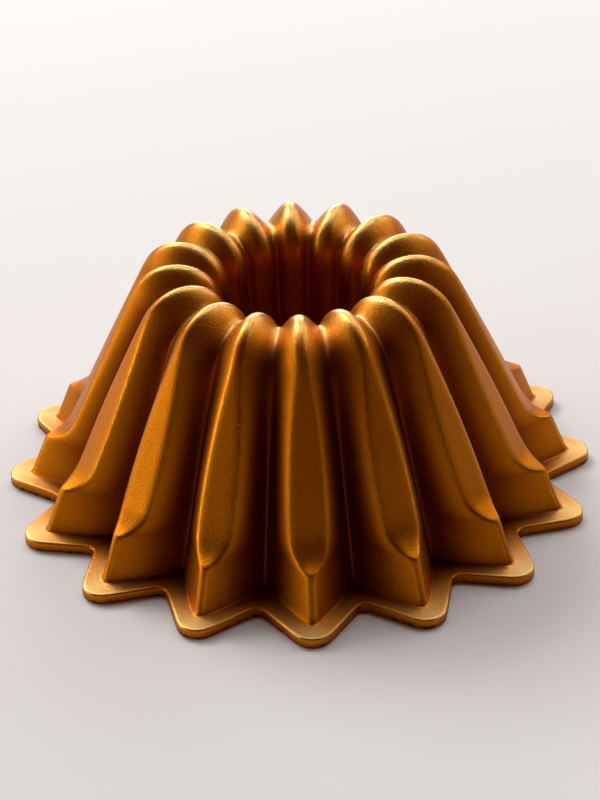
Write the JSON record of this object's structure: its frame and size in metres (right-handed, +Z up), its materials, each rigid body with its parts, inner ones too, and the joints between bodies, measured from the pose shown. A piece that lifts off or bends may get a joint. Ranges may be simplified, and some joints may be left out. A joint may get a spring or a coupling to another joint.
{
  "type": "fluted tube pan",
  "caption": "Cast aluminium ring-cake pan with pointed flutes, an open centre tube and a star-shaped rim flange, standing mouth down with a satin gold finish.",
  "frame": {"origin": "on the pan's axis, in the plane of the rim's underside, which is the plane it rests on", "axes": "+Z up along the axis, from the mouth to the crowns; -Y is the picture's front, on the first flute; +X to its right"},
  "size_m": [0.26, 0.26, 0.1066],
  "materials": {
    "gold_finish": "satin gold-coloured coat on cast aluminium, fine grained, paler where edges are worn"
  },
  "bodies": {
    "root": {"rim_flange": "gold_finish", "flute_01": "gold_finish", "flute_02": "gold_finish", "flute_03": "gold_finish", "flute_04": "gold_finish", "flute_05": "gold_finish", "flute_06": "gold_finish", "flute_07": "gold_finish", "flute_08": "gold_finish", "flute_09": "gold_finish", "flute_10": "gold_finish", "flute_11": "gold_finish", "flute_12": "gold_finish", "flute_13": "gold_finish", "flute_14": "gold_finish", "flute_15": "gold_finish", "flute_16": "gold_finish", "centre_tube": "gold_finish"}
  },
  "joints": []
}
